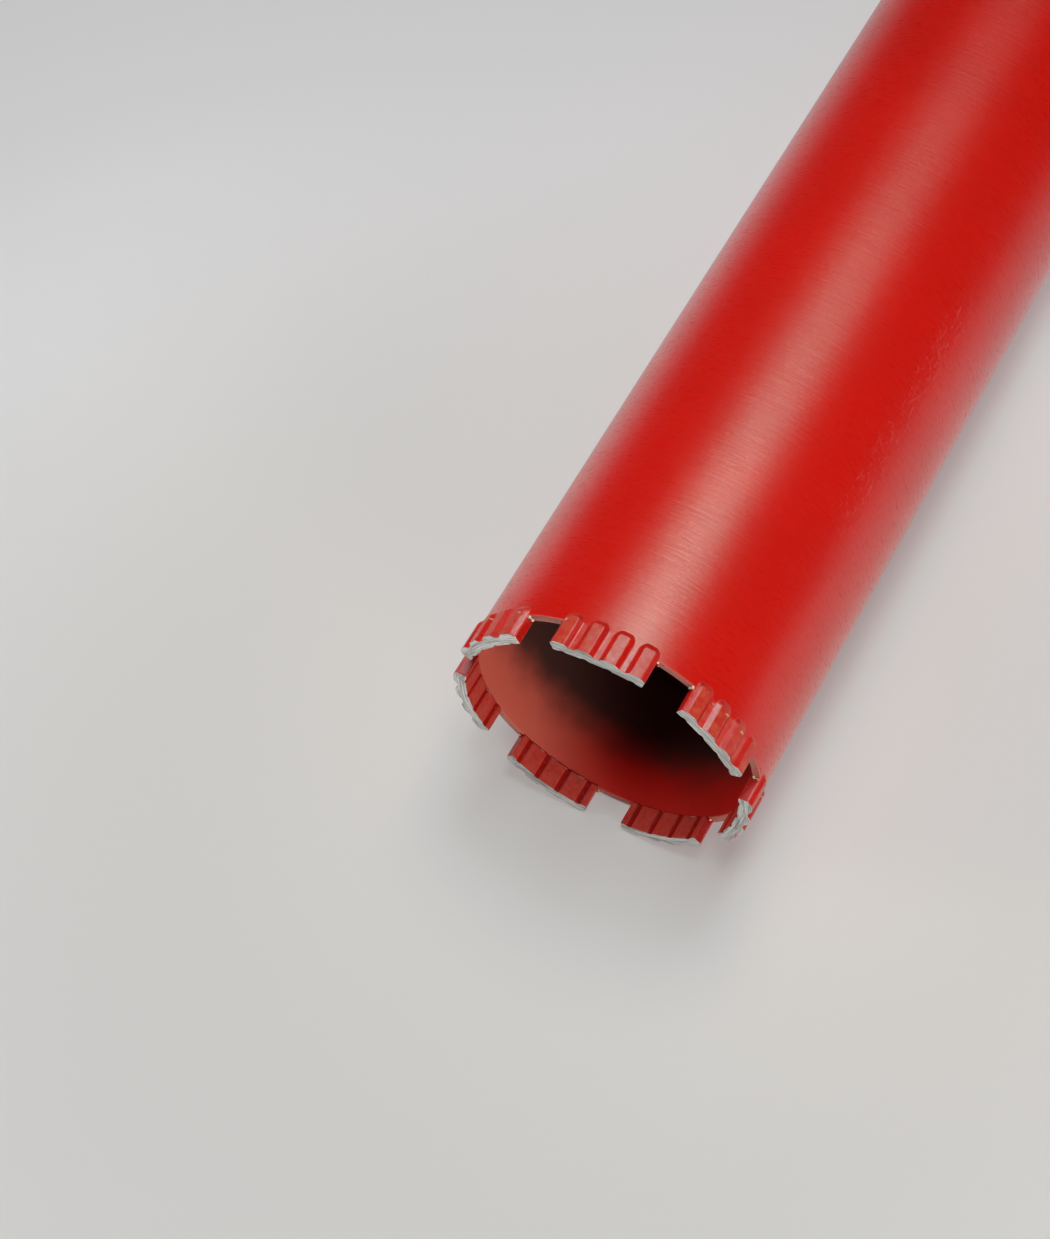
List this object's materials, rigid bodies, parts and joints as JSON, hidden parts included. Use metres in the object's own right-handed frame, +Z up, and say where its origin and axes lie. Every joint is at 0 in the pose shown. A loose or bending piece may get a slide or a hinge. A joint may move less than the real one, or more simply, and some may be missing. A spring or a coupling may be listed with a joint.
{
  "type": "diamond core drill bit",
  "caption": "Wet diamond core bit: thin red steel tube with brazed ribbed diamond segments and a welded hexagonal hub with a female spindle thread.",
  "frame": {"origin": "centre of the hub's mouth face, on the bit's axis, where the drill spindle's shoulder seats", "axes": "+Y along the bit's axis out of the hub's mouth, towards the drill spindle, so the crown and the drilling direction are towards -Y; +Z up with the bit lying on its side and one segment on top; +X completes a right-handed frame"},
  "size_m": [0.078, 0.491, 0.0777],
  "materials": {
    "red_enamel": "glossy red enamel sprayed over circumferentially brushed steel tube",
    "painted_weld": "rippled weld bead under the same red enamel",
    "hub_steel": "turned and milled steel, painted red outside, bare in the thread and on the shoulder",
    "diamond_matrix": "sintered metal with fine grit, sides sprayed red, cutting face ground bare and scratched",
    "segment_foot": "diamond-free sintered foot sprayed red with the barrel",
    "silver_braze": "silver braze alloy, mostly under the red spray, pale brass where the spray missed it"
  },
  "bodies": {
    "root": {"barrel_tube": "red_enamel", "end_plate": "red_enamel", "end_plate_weld": "painted_weld", "threaded_hub": "hub_steel", "hub_weld": "painted_weld", "diamond_segment_1": "diamond_matrix", "diamond_segment_2": "diamond_matrix", "diamond_segment_3": "diamond_matrix", "diamond_segment_4": "diamond_matrix", "diamond_segment_5": "diamond_matrix", "diamond_segment_6": "diamond_matrix", "diamond_segment_7": "diamond_matrix", "segment_foot_1": "segment_foot", "segment_foot_2": "segment_foot", "segment_foot_3": "segment_foot", "segment_foot_4": "segment_foot", "segment_foot_5": "segment_foot", "segment_foot_6": "segment_foot", "segment_foot_7": "segment_foot", "braze_joint_1": "silver_braze", "braze_joint_2": "silver_braze", "braze_joint_3": "silver_braze", "braze_joint_4": "silver_braze", "braze_joint_5": "silver_braze", "braze_joint_6": "silver_braze", "braze_joint_7": "silver_braze"}
  },
  "joints": []
}
